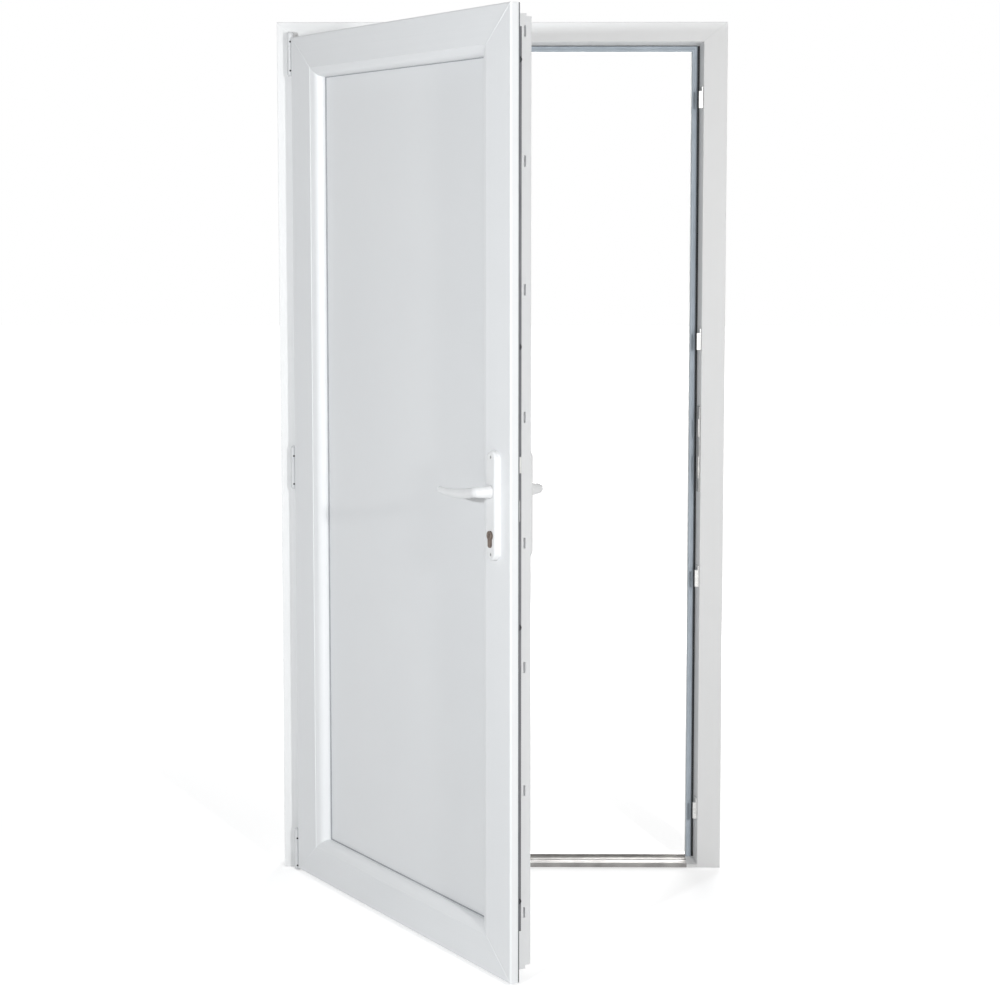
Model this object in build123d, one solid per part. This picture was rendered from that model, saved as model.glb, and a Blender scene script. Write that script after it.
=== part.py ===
"""White exterior door: a welded plastic frame on a low metal threshold, with a hinged leaf.

Millimetres, +Z up, origin at the middle of the threshold's underside.
X runs along the threshold, the hinges are at -X, and the leaf opens towards -Y.
The leaf is drawn closed and then turned about its hinges to the angle at which it stands.
"""

import os
from math import sin, sqrt

from build123d import *

# Outer frame
FRAME_WIDTH = 1090.0
FRAME_HEIGHT = 2090.0
FRAME_DEPTH = 70.0
JAMB_FACE = 57.0  # front face of a jamb
HEAD_FACE = 47.0  # front face of the head
REBATE_LEAN = 6.0  # the rebate wall leans in by this much on its way to the stop
STOP_RISE = 20.0  # the stop stands this far past the foot of the rebate wall
STOP_DEPTH = 20.0
FRAME_ROUND = 1.5
HEAD_SLOT_SETBACK = 5.0
HEAD_SLOT_WIDTH = 5.0
HEAD_SLOT_DEPTH = 10.0
HEAD_SLOTS = ((64.0, 30.0), (7.0, 16.0))  # rebate wall to a slot's end, and its length

# Threshold
THRESHOLD_RISE = 20.0
TREAD_FRONT = 11.0
TREAD_BACK = 13.0
NOSE_CHAMFER = 3.0
DRAIN_WIDTH = 7.0
DRAIN_DEPTH = 3.0
DRAIN_SETBACK = 24.0
END_BLOCK_RISE = 15.0
END_BLOCK_SLOPE = 7.0

# Leaf
LEAF_OVERLAP = 8.0  # the leaf's flange covers the frame's faces by this much
FLOOR_GAP = 6.0
FLANGE_GAP = 8.0  # closed, from the flange to the frame's front face
FLANGE_THICK = 20.0
FLANGE_REACH = 24.0
LEAF_THICK = 70.0
STILE_FACE = 98.0
RAIL_FACE = 79.0
CORE_DEPTH = 53.0  # front face to the step at the back of the leaf's edge
BACK_STEP = 6.0
PANEL_LEG = 20.0
PANEL_RECESS = 30.0
PANEL_THICK = 24.0
PANEL_PLAY = 4.0
NOSE_ROUND = 4.0
EDGE_ROUND = 2.0
BEAD_EDGE_ROUND = 0.6

# Beads and seals
BEAD_WIDTH = 27.0
BEAD_LEDGE = 9.0
BEAD_SLOPE = 2.2  # fall of the ledge towards the panel
BEAD_DROP = 1.0
BEAD_TOE = 4.0
PANEL_SEAL_WIDTH = 2.0
PANEL_SEAL_DEPTH = 3.0
STOP_SEAL_WIDTH = 13.0
STOP_SEAL_THICK = 3.0
STOP_SEAL_MARGIN = 1.0
FLANGE_SEAL_WIDTH = 6.0
FLANGE_SEAL_THICK = 2.5
FLANGE_SEAL_MARGIN = 1.0

# Hinges
HINGE_OUT = 14.0  # pin to the leaf's edge
HINGE_BACK = 6.5  # pin behind the leaf's front face
HINGE_HEIGHT = 102.0
HINGE_FOOT = 52.0  # middle of the bottom hinge above the floor
HINGE_MIDDLE = 1010.0
HINGE_DROP = 78.0  # middle of the top hinge under the frame's top
KNUCKLE_RADIUS = 8.5
FRAME_KNUCKLE = 36.0
KNUCKLE_GAP = 0.3
KNUCKLE_CHAMFER = 2.0
PIN_RADIUS = 5.0
PIN_PLAY = 0.08
PIN_COVER = 5.0
HINGE_PLATE = 2.5
HINGE_ARM = 16.0
HINGE_PLATE_REACH = 30.0  # how far a plate runs into the rebate
LEAF_ARM_HEIGHT = 22.0
OPEN_ANGLE = 57.6  # where the leaf stands

# Lock strip on the free edge
LOCK_WIDTH = 20.0
LOCK_THICK = 3.0
LOCK_SETBACK = 21.6  # leaf's front face to the strip
LOCK_BOTTOM = 109.0
LOCK_DROP = 46.0  # leaf's top to the strip's top
CAM_INSET = 67.5  # strip's end to the nearest cam
CAM_COUNT = 4
CAM_STEM_RADIUS = 4.0
CAM_HEAD_RADIUS = 6.5
CAM_STEM = 3.5
CAM_HEAD = 3.5
LATCH_LEVEL = 1105.0
LATCH_HEIGHT = 34.0
LATCH_OUT = 6.0
DEAD_BOLT_LEVEL = 1008.0
DEAD_BOLT_HEIGHT = 44.0
DEAD_BOLT_OUT = 1.0
BOLT_WIDTH = 12.0
BOLT_DEPTH = 24.0
BOLT_PLAY = 0.4
EDGE_SLOT_COUNT = 8
EDGE_SLOT_FIRST = 148.0
EDGE_SLOT_DROP = 55.0  # leaf's top to the topmost slot
EDGE_SLOT_HEIGHT = 23.0
EDGE_SLOT_WIDTH = 5.0
EDGE_SLOT_DEPTH = 8.0
EDGE_SLOT_SETBACK = 47.0

# Keeps on the lock jamb
KEEP_DROP = 27.0  # a keep's centre lies this far under its cam
KEEP_HEIGHT = 52.0
KEEP_PLATE = 2.5
KEEP_FRONT = 7.0  # frame's front face to the keep
KEEP_WIDTH = 26.0
CLAW_HEIGHT = 41.0
CLAW_THICK = 5.0
CLAW_OUT = 7.0
STRIKE_BELOW = 40.0  # dead bolt to the strike's lower end
STRIKE_ABOVE = 36.0  # latch to its upper end
STRIKE_PLAY = 5.0
STRIKE_MARGIN = 6.0
STRIKE_LIP_THICK = 2.5
STRIKE_LIP_OUT = 2.75

# Handles
BACKSET = 35.0  # lock edge to the lever's pin
LEVER_LEVEL = 1048.0
PLATE_WIDTH = 38.0
PLATE_ABOVE = 86.0
PLATE_BELOW = 145.0
PLATE_THICK = 13.0
PLATE_ROUND = 6.0
SCREW_INSET = 13.0  # plate's end to its screw
SCREW_HOLE = 2.3
SCREW_SINK = 4.2
SCREW_SINK_DEPTH = 3.0
CYLINDER_DROP = 92.0
CYLINDER_RADIUS = 10.0
CYLINDER_WEB = 6.0
CYLINDER_HEIGHT = 35.5
CYLINDER_OUT = 3.0
CYLINDER_PLAY = 0.3
KEYWAY_WIDTH = 2.4
KEYWAY_HEIGHT = 9.0
KEYWAY_DEPTH = 3.0
NECK_RADIUS = 11.0
NECK_PLAY = 0.3
COLLAR_RADIUS = 14.0  # the neck's cone where it leaves the plate
LEVER_STANDOFF = 42.0
ELBOW_RADIUS = 14.0
LEVER_REACH = 160.0
LEVER_TIP_HEIGHT = 13.0
LEVER_TIP_DEPTH = 10.0
LEVER_DIP = 11.0
LEVER_BOW = 2.2  # radians of a sine that the grip follows
GRIP_STEPS = 8
SPINDLE_SIZE = 8.0
SPINDLE_PLAY = 1.4

# Planes and edges that follow from the sizes above
FRONT = -FRAME_DEPTH / 2
BACK = FRAME_DEPTH / 2
STOP = BACK - STOP_DEPTH
HALF_FRAME = FRAME_WIDTH / 2
REBATE = HALF_FRAME - JAMB_FACE
REBATE_FOOT = REBATE - REBATE_LEAN
STOP_EDGE = REBATE_FOOT - STOP_RISE
HEAD_SHARE = HEAD_FACE / JAMB_FACE
HEAD_REBATE = FRAME_HEIGHT - HEAD_FACE
HEAD_STOP = FRAME_HEIGHT - (HALF_FRAME - STOP_EDGE) * HEAD_SHARE

HALF_LEAF = REBATE + LEAF_OVERLAP
LEAF_BOTTOM = FLOOR_GAP
LEAF_TOP = HEAD_REBATE + LEAF_OVERLAP
FLANGE_BACK = FRONT - FLANGE_GAP
LEAF_FRONT = FLANGE_BACK - FLANGE_THICK
LEAF_BACK = LEAF_FRONT + LEAF_THICK
LEAF_STEP = LEAF_FRONT + CORE_DEPTH
PANEL_FRONT = LEAF_FRONT + PANEL_RECESS
PANEL_BACK = PANEL_FRONT + PANEL_THICK
RAIL_SHARE = RAIL_FACE / STILE_FACE
LOCK_EDGE = HALF_LEAF - FLANGE_REACH

PIN_X = -HALF_LEAF - HINGE_OUT
PIN_Y = LEAF_FRONT + HINGE_BACK
PIN_AXIS = Axis((PIN_X, PIN_Y, 0), (0, 0, 1))
HINGE_LEVELS = {"bottom": HINGE_FOOT, "middle": HINGE_MIDDLE, "top": FRAME_HEIGHT - HINGE_DROP}
LOCK_TOP = LEAF_TOP - LOCK_DROP
LEVER_X = LOCK_EDGE - BACKSET
CYLINDER_LEVEL = LEVER_LEVEL - CYLINDER_DROP
PLATE_FACE = LEAF_FRONT - PLATE_THICK
LEAF_MIDDLE = Plane.XZ.offset(-(LEAF_FRONT + LEAF_BACK) / 2)

DIRECTIONS = {"X": (1, 0, 0), "Y": (0, 1, 0), "Z": (0, 0, 1)}


def point_on(axis, level, first, second):
    """A point of a section: across X it is (y, z), across Y (x, z) and across Z (x, y)."""
    if axis == "X":
        return (level, first, second)
    if axis == "Y":
        return (first, level, second)
    return (first, second, level)


def bar(axis, start, end, outline, rounds=None):
    """A straight bar along an axis; rounds gives the radius at some corners of its outline."""
    corners = [point_on(axis, start, first, second) for first, second in outline]
    face = make_face(Polyline(*corners, close=True))
    for corner, radius in (rounds or {}).items():
        vertex = face.vertices().sort_by_distance(corners[corner])[0]
        face = fillet(vertex, radius)
    return extrude(face, amount=end - start, dir=DIRECTIONS[axis])


def block(x_span, y_span, z_span):
    """A plain block between two levels along each axis."""
    size = [high - low for low, high in (x_span, y_span, z_span)]
    centre = [(low + high) / 2 for low, high in (x_span, y_span, z_span)]
    return Pos(*centre) * Box(*size)


def upright(x, y, bottom, top, radius):
    """A round post."""
    return Pos(x, y, (bottom + top) / 2) * Cylinder(radius, top - bottom)


def cross_pin(x, z, start, end, radius):
    """A round pin that runs through the leaf from front to back."""
    turned = Pos(x, (start + end) / 2, z) * Rot(90, 0, 0)
    return turned * Cylinder(radius, end - start)


def cone_out(x, z, start, end, first, last):
    """A cone that runs out of the leaf's front, from one radius to another."""
    return Pos(x, (start + end) / 2, z) * Rot(90, 0, 0) * Cone(first, last, start - end)


def wall_at(depth):
    """Half width of the rebate at a depth, on its leaning wall."""
    return REBATE - REBATE_LEAN * (depth - FRONT) / (STOP - FRONT)


def spread(first, last, count):
    """Levels at even steps from the first to the last."""
    return [first + (last - first) * step / (count - 1) for step in range(count)]


def save(node, shape):
    export_step(shape, f"parts/{node}.step")


def save_on_leaf(node, *shapes):
    """Turn pieces of the leaf to where it stands, and keep them as one node."""
    turned = [shape.rotate(PIN_AXIS, -OPEN_ANGLE) for shape in shapes]
    save(node, turned[0] if len(turned) == 1 else Compound(children=turned))


# Frame members: one section all round, cut on the line from outer to inner corner

def frame_section(edge, inward, share):
    """Section points (across, depth) of a member whose outer face is at edge."""

    def across(distance):
        return edge + inward * distance * share

    return [
        (across(0), FRONT),
        (across(JAMB_FACE), FRONT),
        (across(JAMB_FACE + REBATE_LEAN), STOP),
        (across(JAMB_FACE + REBATE_LEAN + STOP_RISE), STOP),
        (across(JAMB_FACE + REBATE_LEAN + STOP_RISE), BACK),
        (across(0), BACK),
    ]


FRAME_ROUNDS = {0: FRAME_ROUND, 1: FRAME_ROUND, 3: FRAME_ROUND, 4: FRAME_ROUND, 5: FRAME_ROUND}


def build_frame():
    corner = [
        (-HALF_FRAME, FRAME_HEIGHT),
        (HALF_FRAME, FRAME_HEIGHT),
        (STOP_EDGE, HEAD_STOP),
        (-STOP_EDGE, HEAD_STOP),
    ]
    head_room = bar("Y", FRONT, BACK, corner)
    for node, side in (("left_jamb", -1), ("right_jamb", 1)):
        section = frame_section(side * HALF_FRAME, -side, 1.0)
        jamb = bar("Z", 0, FRAME_HEIGHT, section, FRAME_ROUNDS)
        save(node, jamb - head_room)
    section = [(depth, height) for height, depth in frame_section(FRAME_HEIGHT, -1, HEAD_SHARE)]
    head = bar("X", -HALF_FRAME, HALF_FRAME, section, FRAME_ROUNDS)
    slot_start = FRONT + HEAD_SLOT_SETBACK
    for inset, length in HEAD_SLOTS:
        head -= block(
            (REBATE - inset - length, REBATE - inset),
            (slot_start, slot_start + HEAD_SLOT_WIDTH),
            (HEAD_REBATE - HEAD_SLOT_DEPTH, HEAD_REBATE + HEAD_SLOT_DEPTH),
        )
    save("frame_head", head & head_room)


def build_threshold():
    tread_run = STOP - FRONT - NOSE_CHAMFER

    def tread(depth):
        return TREAD_FRONT + (TREAD_BACK - TREAD_FRONT) * (depth - FRONT - NOSE_CHAMFER) / tread_run

    drain = FRONT + DRAIN_SETBACK
    drain_end = drain + DRAIN_WIDTH
    outline = [
        (FRONT, 0),
        (FRONT, TREAD_FRONT - NOSE_CHAMFER),
        (FRONT + NOSE_CHAMFER, TREAD_FRONT),
        (drain, tread(drain)),
        (drain, tread(drain) - DRAIN_DEPTH),
        (drain_end, tread(drain) - DRAIN_DEPTH),
        (drain_end, tread(drain_end)),
        (STOP, TREAD_BACK),
        (STOP, THRESHOLD_RISE),
        (BACK, THRESHOLD_RISE),
        (BACK, 0),
    ]
    rounds = {2: FRAME_ROUND, 8: FRAME_ROUND, 9: FRAME_ROUND}
    save("threshold", bar("X", -STOP_EDGE, STOP_EDGE, outline, rounds))
    for node, side in (("threshold_end_left", -1), ("threshold_end_right", 1)):
        plan = [
            (side * STOP_EDGE, FRONT),
            (side * REBATE, FRONT),
            (side * REBATE_FOOT, STOP),
            (side * STOP_EDGE, STOP),
        ]
        end_block = bar("Z", 0, END_BLOCK_RISE, plan)
        slope = [
            (FRONT, END_BLOCK_RISE),
            (FRONT, END_BLOCK_RISE - END_BLOCK_SLOPE),
            (STOP, END_BLOCK_RISE),
        ]
        save(node, end_block - bar("X", -HALF_FRAME, HALF_FRAME, slope))


def build_frame_seals():
    inner = STOP_EDGE + STOP_SEAL_MARGIN
    outer = inner + STOP_SEAL_WIDTH
    low = HEAD_STOP + STOP_SEAL_MARGIN
    high = low + STOP_SEAL_WIDTH
    front = STOP - STOP_SEAL_THICK
    bulge = {0: STOP_SEAL_THICK * 0.8, 3: STOP_SEAL_THICK * 0.8}
    for node, side in (("stop_seal_left", -1), ("stop_seal_right", 1)):
        plan = [(side * inner, front), (side * inner, STOP), (side * outer, STOP), (side * outer, front)]
        save(node, bar("Z", END_BLOCK_RISE, high, plan, bulge))
    section = [(front, low), (STOP, low), (STOP, high), (front, high)]
    save("stop_seal_head", bar("X", -inner, inner, section, bulge))


# Leaf members: one section all round, turned to each side

def leaf_section(edge, inward, share):
    """Section points (across, depth) of a member whose outer edge is at edge."""

    def across(distance):
        return edge + inward * distance * share

    return [
        (across(0), LEAF_FRONT),
        (across(STILE_FACE), LEAF_FRONT),
        (across(STILE_FACE), PANEL_BACK),
        (across(STILE_FACE + PANEL_LEG), PANEL_BACK),
        (across(STILE_FACE + PANEL_LEG), LEAF_BACK),
        (across(FLANGE_REACH + BACK_STEP), LEAF_BACK),
        (across(FLANGE_REACH + BACK_STEP), LEAF_STEP),
        (across(FLANGE_REACH), LEAF_STEP),
        (across(FLANGE_REACH), FLANGE_BACK),
        (across(0), FLANGE_BACK),
    ]


LEAF_ROUNDS = {0: NOSE_ROUND, 1: BEAD_EDGE_ROUND, 4: NOSE_ROUND, 5: EDGE_ROUND, 9: EDGE_ROUND}
LEAF_SIDES = (("hinge", -1), ("lock", 1))


def leaf_corner(distance):
    """The leaf's outline, drawn in by a distance at the stiles and by its share at the rails."""
    half = HALF_LEAF - distance
    low = LEAF_BOTTOM + distance * RAIL_SHARE
    high = LEAF_TOP - distance * RAIL_SHARE
    return half, low, high


def rail_room(end, inset):
    """The wedge of the leaf that the top or bottom rail fills, up to the welded corners."""
    half, low, high = leaf_corner(inset)
    level, inner = (LEAF_TOP, high) if end == "top" else (LEAF_BOTTOM, low)
    outline = [(-HALF_LEAF, level), (HALF_LEAF, level), (half, inner), (-half, inner)]
    return bar("Y", LEAF_FRONT, LEAF_BACK, outline)


def ring(outer, inner, start, end):
    """A flat ring round the leaf between two distances from its edge."""
    spans = []
    for distance in (outer, inner):
        half, low, high = leaf_corner(distance)
        spans.append(((-half, half), (start, end), (low, high)))
    return block(*spans[0]) - block(*spans[1])


def euro_profile(plane, play):
    """Outline of a profile cylinder: a round barrel over a narrower web."""
    barrel = Circle(CYLINDER_RADIUS + play)
    tail = CYLINDER_HEIGHT - CYLINDER_RADIUS - CYLINDER_WEB
    web = Pos(0, -tail / 2) * Rectangle(2 * (CYLINDER_WEB + play), tail)
    toe = Pos(0, -tail) * Circle(CYLINDER_WEB + play)
    return plane * (barrel + web + toe)


def through_leaf(x, z, start):
    """Plane at a depth whose own axes are X and Z, looking out of the leaf's front."""
    return Plane(origin=(x, start, z), x_dir=(1, 0, 0), z_dir=(0, -1, 0))


def lock_pocket(level, height, play):
    """Room for a bolt in the lock edge, through the strip."""
    centre = LEAF_FRONT + LOCK_SETBACK + LOCK_WIDTH / 2
    half_width = BOLT_WIDTH / 2 + play
    half_height = height / 2 + play
    return block(
        (LOCK_EDGE - BOLT_DEPTH, LOCK_EDGE),
        (centre - half_width, centre + half_width),
        (level - half_height, level + half_height),
    )


def cylinder_hole(play):
    """The profile cylinder's way through leaf and plates."""
    start = LEAF_BACK + PLATE_THICK + CYLINDER_OUT
    run = LEAF_THICK + 2 * (PLATE_THICK + CYLINDER_OUT)
    return extrude(euro_profile(through_leaf(LEVER_X, CYLINDER_LEVEL, start), play), amount=run)


def build_leaf_frame():
    reach = STILE_FACE + PANEL_LEG
    rooms = [rail_room("top", reach), rail_room("bottom", reach)]
    strip = (LEAF_FRONT + LOCK_SETBACK, LEAF_FRONT + LOCK_SETBACK + LOCK_WIDTH)
    for side_name, side in LEAF_SIDES:
        section = leaf_section(side * HALF_LEAF, -side, 1.0)
        stile = bar("Z", LEAF_BOTTOM, LEAF_TOP, section, LEAF_ROUNDS) - rooms[0] - rooms[1]
        if side_name == "lock":
            stile -= block((LOCK_EDGE - LOCK_THICK, LOCK_EDGE), strip, (LOCK_BOTTOM, LOCK_TOP))
            stile -= lock_pocket(LATCH_LEVEL, LATCH_HEIGHT, BOLT_PLAY)
            stile -= lock_pocket(DEAD_BOLT_LEVEL, DEAD_BOLT_HEIGHT, BOLT_PLAY)
            slot_start = LEAF_FRONT + EDGE_SLOT_SETBACK
            for level in spread(EDGE_SLOT_FIRST, LEAF_TOP - EDGE_SLOT_DROP, EDGE_SLOT_COUNT):
                stile -= block(
                    (LOCK_EDGE - EDGE_SLOT_DEPTH, LOCK_EDGE),
                    (slot_start, slot_start + EDGE_SLOT_WIDTH),
                    (level - EDGE_SLOT_HEIGHT / 2, level + EDGE_SLOT_HEIGHT / 2),
                )
            spindle_room = SPINDLE_SIZE / sqrt(2) + SPINDLE_PLAY
            stile -= cross_pin(LEVER_X, LEVER_LEVEL, LEAF_FRONT, LEAF_BACK, spindle_room)
            stile -= cylinder_hole(CYLINDER_PLAY)
        save_on_leaf(f"{side_name}_stile", stile)
    for end, room in zip(("top", "bottom"), rooms):
        level, inward = (LEAF_TOP, -1) if end == "top" else (LEAF_BOTTOM, 1)
        points = leaf_section(level, inward, RAIL_SHARE)
        section = [(depth, height) for height, depth in points]
        rail = bar("X", -HALF_LEAF, HALF_LEAF, section, LEAF_ROUNDS)
        save_on_leaf(f"{end}_rail", rail & room)


def build_panel():
    half, low, high = leaf_corner(STILE_FACE + PANEL_PLAY)
    save_on_leaf("door_panel", block((-half, half), (PANEL_FRONT, PANEL_BACK), (low, high)))
    bead_end = STILE_FACE + BEAD_WIDTH
    front_seal = ring(
        bead_end, bead_end + PANEL_SEAL_WIDTH, PANEL_FRONT - PANEL_SEAL_DEPTH, PANEL_FRONT
    )
    leg_end = STILE_FACE + PANEL_LEG
    back_seal = ring(leg_end, leg_end + PANEL_SEAL_WIDTH, PANEL_BACK, PANEL_BACK + PANEL_SEAL_DEPTH)
    save_on_leaf("panel_seal_inside", front_seal)
    save_on_leaf("panel_seal_outside", back_seal)


def bead_face(axis, level, edge, inward, share):
    """Section of a bead: a sloping ledge, then one round face down to the panel."""

    def corner(distance, depth):
        across = edge + inward * distance * share
        if axis == "Z":
            return (across, depth, level)
        return (level, depth, across)

    crown = LEAF_FRONT + BEAD_DROP
    toe = PANEL_FRONT - BEAD_TOE
    ledge_end = STILE_FACE + BEAD_LEDGE
    bead_end = STILE_FACE + BEAD_WIDTH
    ledge_depth = crown + BEAD_SLOPE
    bulge_across = ledge_end + (bead_end - ledge_end) / sqrt(2)
    bulge_depth = toe - (toe - ledge_depth) / sqrt(2)
    foot = Polyline(
        corner(bead_end, toe),
        corner(bead_end, PANEL_FRONT),
        corner(STILE_FACE, PANEL_FRONT),
        corner(STILE_FACE, crown),
        corner(ledge_end, ledge_depth),
    )
    round_face = ThreePointArc(
        corner(ledge_end, ledge_depth), corner(bulge_across, bulge_depth), corner(bead_end, toe)
    )
    return make_face([foot, round_face])


def build_beads():
    rooms = [rail_room(end, STILE_FACE + BEAD_WIDTH) for end in ("top", "bottom")]
    for side_name, side in LEAF_SIDES:
        face = bead_face("Z", LEAF_BOTTOM, side * HALF_LEAF, -side, 1.0)
        bead = extrude(face, amount=LEAF_TOP - LEAF_BOTTOM, dir=DIRECTIONS["Z"])
        save_on_leaf(f"{side_name}_bead", bead - rooms[0] - rooms[1])
    for end, room in zip(("top", "bottom"), rooms):
        level, inward = (LEAF_TOP, -1) if end == "top" else (LEAF_BOTTOM, 1)
        face = bead_face("X", -HALF_LEAF, level, inward, RAIL_SHARE)
        bead = extrude(face, amount=2 * HALF_LEAF, dir=DIRECTIONS["X"])
        save_on_leaf(f"{end}_bead", bead & room)


# Hinges: the frame's half holds the pin, the leaf's two knuckles turn on it

def hinge_spans(level):
    """Bottom and top of the frame's knuckle and of the leaf's two knuckles."""
    half = HINGE_HEIGHT / 2
    inner = FRAME_KNUCKLE / 2
    own = (level - inner + KNUCKLE_GAP, level + inner - KNUCKLE_GAP)
    return own, (level - half, level - inner), (level + inner, level + half)


def frame_hinge(level):
    own, below, above = hinge_spans(level)
    knuckle = upright(PIN_X, PIN_Y, own[0], own[1], KNUCKLE_RADIUS)
    pin = upright(PIN_X, PIN_Y, below[0] + PIN_COVER, above[1] - PIN_COVER, PIN_RADIUS)
    arm_start = PIN_X - HINGE_ARM / 2
    arm = block((arm_start, PIN_X + HINGE_ARM / 2), (PIN_Y, FRONT), own)
    plate_end = FRONT + HINGE_PLATE_REACH
    plan = [
        (arm_start, FRONT),
        (arm_start, FRONT - HINGE_PLATE),
        (-REBATE + HINGE_PLATE, FRONT - HINGE_PLATE),
        (-wall_at(plate_end) + HINGE_PLATE, plate_end),
        (-wall_at(plate_end), plate_end),
        (-REBATE, FRONT),
    ]
    return knuckle + pin + arm + bar("Z", own[0], own[1], plan)


def leaf_hinge(level):
    """Two knuckles with blind bores, on one plate that wraps behind the leaf's flange."""
    own, below, above = hinge_spans(level)
    plate_back = FLANGE_BACK + HINGE_PLATE
    plate_end = FLANGE_BACK + HINGE_PLATE_REACH
    arm_plan = [
        (PIN_X, PIN_Y),
        (-HALF_LEAF, PIN_Y),
        (-HALF_LEAF, FLANGE_BACK),
        (-LOCK_EDGE, FLANGE_BACK),
        (-LOCK_EDGE, plate_back),
        (PIN_X, plate_back),
    ]
    arms = ((below[1] - LEAF_ARM_HEIGHT, below[1]), (above[0], above[0] + LEAF_ARM_HEIGHT))
    half, core_low, core_high = leaf_corner(FLANGE_REACH)
    plate_plan = [
        (-HALF_LEAF + HINGE_PLATE, FLANGE_BACK),
        (-half, FLANGE_BACK),
        (-half, plate_end),
        (-half - HINGE_PLATE, plate_end),
        (-half - HINGE_PLATE, plate_back),
        (-HALF_LEAF + HINGE_PLATE, plate_back),
    ]
    hinge = bar("Z", max(arms[0][0], core_low), min(arms[1][1], core_high), plate_plan)
    for span, arm, end in ((below, arms[0], 0), (above, arms[1], -1)):
        barrel = upright(PIN_X, PIN_Y, span[0], span[1], KNUCKLE_RADIUS)
        rims = barrel.edges().filter_by(GeomType.CIRCLE).sort_by(Axis.Z)
        hinge += chamfer(rims[end], KNUCKLE_CHAMFER)
        hinge += bar("Z", arm[0], arm[1], arm_plan)
    bore_low = below[0] + PIN_COVER - KNUCKLE_GAP
    bore_high = above[1] - PIN_COVER + KNUCKLE_GAP
    return hinge - upright(PIN_X, PIN_Y, bore_low, bore_high, PIN_RADIUS + PIN_PLAY)


def build_hinges():
    for place, level in HINGE_LEVELS.items():
        save(f"hinge_frame_{place}", frame_hinge(level))
        save_on_leaf(f"hinge_leaf_{place}", leaf_hinge(level))


def build_flange_seal():
    """The seal behind the flange stops short of the hinge plates."""
    start = FLANGE_SEAL_MARGIN
    seal = ring(start, start + FLANGE_SEAL_WIDTH, FLANGE_BACK, FLANGE_BACK + FLANGE_SEAL_THICK)
    half, low, high = leaf_corner(start)
    for level in HINGE_LEVELS.values():
        own, below, above = hinge_spans(level)
        notch = (max(below[0], low - 1), min(above[1], high + 1))
        seal -= block((-half - 1, -LOCK_EDGE), (FLANGE_BACK, FRONT), notch)
    save_on_leaf("flange_seal", *seal.solids())


# Lock strip, cams and bolts on the free edge, with their keeps on the jamb

def cam_levels():
    return spread(LOCK_BOTTOM + CAM_INSET, LOCK_TOP - CAM_INSET, CAM_COUNT)


def build_lock():
    start = LEAF_FRONT + LOCK_SETBACK
    centre = start + LOCK_WIDTH / 2
    strip = block(
        (LOCK_EDGE - LOCK_THICK, LOCK_EDGE), (start, start + LOCK_WIDTH), (LOCK_BOTTOM, LOCK_TOP)
    )
    strip -= lock_pocket(LATCH_LEVEL, LATCH_HEIGHT, BOLT_PLAY)
    strip -= lock_pocket(DEAD_BOLT_LEVEL, DEAD_BOLT_HEIGHT, BOLT_PLAY)
    save_on_leaf("lock_strip", strip)

    cams = []
    for level in cam_levels():
        seat = Pos(LOCK_EDGE, centre, level) * Rot(0, 90, 0)
        stem = seat * Pos(0, 0, CAM_STEM / 2) * Cylinder(CAM_STEM_RADIUS, CAM_STEM)
        head = seat * Pos(0, 0, CAM_STEM + CAM_HEAD / 2) * Cylinder(CAM_HEAD_RADIUS, CAM_HEAD)
        cams.append(stem + head)
    save_on_leaf("roller_cams", *cams)

    nose = LOCK_EDGE + LATCH_OUT
    latch_plan = [
        (LOCK_EDGE - BOLT_DEPTH, centre - BOLT_WIDTH / 2),
        (LOCK_EDGE, centre - BOLT_WIDTH / 2),
        (nose, centre - BOLT_WIDTH / 4),
        (nose, centre + BOLT_WIDTH / 2),
        (LOCK_EDGE - BOLT_DEPTH, centre + BOLT_WIDTH / 2),
    ]
    latch_span = (LATCH_LEVEL - LATCH_HEIGHT / 2, LATCH_LEVEL + LATCH_HEIGHT / 2)
    save_on_leaf("latch_bolt", bar("Z", latch_span[0], latch_span[1], latch_plan))
    dead_bolt = block(
        (LOCK_EDGE - BOLT_DEPTH, LOCK_EDGE + DEAD_BOLT_OUT),
        (centre - BOLT_WIDTH / 2, centre + BOLT_WIDTH / 2),
        (DEAD_BOLT_LEVEL - DEAD_BOLT_HEIGHT / 2, DEAD_BOLT_LEVEL + DEAD_BOLT_HEIGHT / 2),
    )
    save_on_leaf("dead_bolt", dead_bolt)


def keep_plan(start, end, rise):
    """A plate on the lock jamb's leaning wall."""
    return [
        (wall_at(start), start),
        (wall_at(end), end),
        (wall_at(end) - rise, end),
        (wall_at(start) - rise, start),
    ]


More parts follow.
